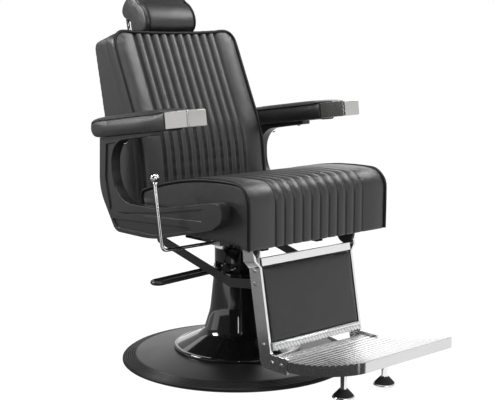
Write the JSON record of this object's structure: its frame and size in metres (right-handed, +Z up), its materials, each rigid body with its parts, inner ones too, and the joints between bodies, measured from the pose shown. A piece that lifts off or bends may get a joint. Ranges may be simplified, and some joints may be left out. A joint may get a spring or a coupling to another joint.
{
  "type": "barber chair",
  "caption": "Black vinyl barber chair with channelled seat and back, linked reclining footrest, cast C-shaped arms, round base and hydraulic pump",
  "frame": {"origin": "centre of the round base on the floor", "axes": "+Z up, -Y is the way the sitter faces, -X is the sitter's right hand"},
  "size_m": [0.7175, 1.1277, 1.0915],
  "materials": {
    "vinyl": "matte charcoal-black vinyl with a fine grain",
    "satin_black": "satin black enamel on steel and cast frames",
    "rim_rubber": "black rubber bumper ring, satin",
    "gloss_black": "deep gloss black covers",
    "bearing_bronze": "plain bronze bearing",
    "machined_steel": "machined steel, lightly oiled",
    "frame_black": "semi-matte black paint on hidden steel",
    "chrome": "bright chrome plate",
    "plywood": "plain birch plywood",
    "strip_aluminium": "satin-polished aluminium",
    "tread_aluminium": "ribbed aluminium tread",
    "screw_steel": "dull plated screw heads",
    "foot_black": "black moulded screw feet"
  },
  "bodies": {
    "base": {"base_plate": "satin_black", "base_rim": "rim_rubber", "bell_cover": "gloss_black", "swivel_bush": "bearing_bronze"},
    "pump": {"pump_cylinder": "machined_steel", "pump_gland": "machined_steel", "neck_cover": "gloss_black", "pedal_bracket": "machined_steel", "pedal_pin": "machined_steel"},
    "pedal": {"pedal_fork": "chrome", "pedal_loop": "frame_black"},
    "seat": {"lift_ram": "chrome", "seat_mount": "gloss_black", "rail_right": "frame_black", "rail_left": "frame_black", "front_crossbar": "frame_black", "hanger_right": "satin_black", "hanger_left": "satin_black", "footrest_pins": "machined_steel", "back_ear_right": "frame_black", "back_ear_left": "frame_black", "lock_cylinder": "frame_black", "lever_bracket": "chrome", "seat_board": "plywood", "seat_side_boards": "plywood", "arm_spacers": "frame_black", "seat_cushion": "vinyl", "arm_right": "satin_black", "arm_left": "satin_black", "arm_pad_right": "vinyl", "arm_pad_left": "vinyl", "arm_end_right": "chrome", "arm_end_left": "chrome", "arm_front_plates": "chrome"},
    "lever": {"lever_rod": "chrome", "lever_knob": "chrome"},
    "lock_rod": {"lock_rod": "machined_steel"},
    "back": {"back_shaft": "machined_steel", "back_arm_right": "frame_black", "back_arm_left": "frame_black", "back_crank": "machined_steel", "back_cushion": "vinyl", "back_shell": "vinyl", "headrest_guide": "frame_black"},
    "headrest": {"headrest_posts": "chrome", "headrest_pad": "vinyl"},
    "footrest": {"strip_right": "strip_aluminium", "strip_left": "strip_aluminium", "strip_screws": "screw_steel", "top_rail": "strip_aluminium", "calf_board": "plywood", "calf_pad": "vinyl", "heel_strip": "tread_aluminium", "footboard": "tread_aluminium"},
    "links": {"link_right": "satin_black", "link_left": "satin_black"},
    "foot_right": {"screw_foot_right": "foot_black"},
    "foot_left": {"screw_foot_left": "foot_black"}
  },
  "joints": [
    {"name": "swivel", "type": "hinge", "parent": "base", "child": "pump", "pos_m": [0, 0, 0.073], "axis": [0, 0, 1], "continuous": true},
    {"name": "pump_pedal", "type": "hinge", "parent": "pump", "child": "pedal", "pos_m": [-0.066, 0, 0.286], "axis": [0, -1, 0], "range_deg": [0, 14], "stiffness_Nm_per_rad": 10, "springref_deg": -17.19},
    {"name": "lift", "type": "slide", "parent": "pump", "child": "seat", "axis": [0, 0, 1], "range_m": [0, 0.15]},
    {"name": "lever", "type": "hinge", "parent": "seat", "child": "lever", "pos_m": [-0.2, -0.094, 0.389], "axis": [-1, 0, 0], "range_deg": [0, 15], "stiffness_Nm_per_rad": 2, "springref_deg": -22.92},
    {"name": "recline", "type": "hinge", "parent": "seat", "child": "back", "pos_m": [0, 0.169, 0.466], "axis": [-1, 0, 0], "range_deg": [0, 40]},
    {"name": "lock_slide", "type": "slide", "parent": "seat", "child": "lock_rod", "axis": [0, -1, 0], "range_m": [0, 0.04515]},
    {"name": "headrest_slide", "type": "slide", "parent": "back", "child": "headrest", "axis": [0, 0.2113, 0.9774], "range_m": [0, 0.1]},
    {"name": "footrest_swing", "type": "hinge", "parent": "seat", "child": "footrest", "pos_m": [0, -0.268, 0.4], "axis": [-1, 0, 0], "range_deg": [0, 40]},
    {"name": "link_turn", "type": "hinge", "parent": "footrest", "child": "links", "pos_m": [0, -0.282, 0.301], "axis": [-1, 0, 0], "range_deg": [-40, 0]},
    {"name": "foot_screw_right", "type": "slide", "parent": "footrest", "child": "foot_right", "axis": [0, 0, 1], "range_m": [-0.006, 0.006]},
    {"name": "foot_screw_left", "type": "slide", "parent": "footrest", "child": "foot_left", "axis": [0, 0, 1], "range_m": [-0.006, 0.006]}
  ],
  "couplings": [
    {"joint": "footrest_swing", "follows": "recline", "ratio": 1},
    {"joint": "link_turn", "follows": "recline", "ratio": -1},
    {"joint": "lock_slide", "follows": "recline", "m_per_rad": 0.064668}
  ]
}
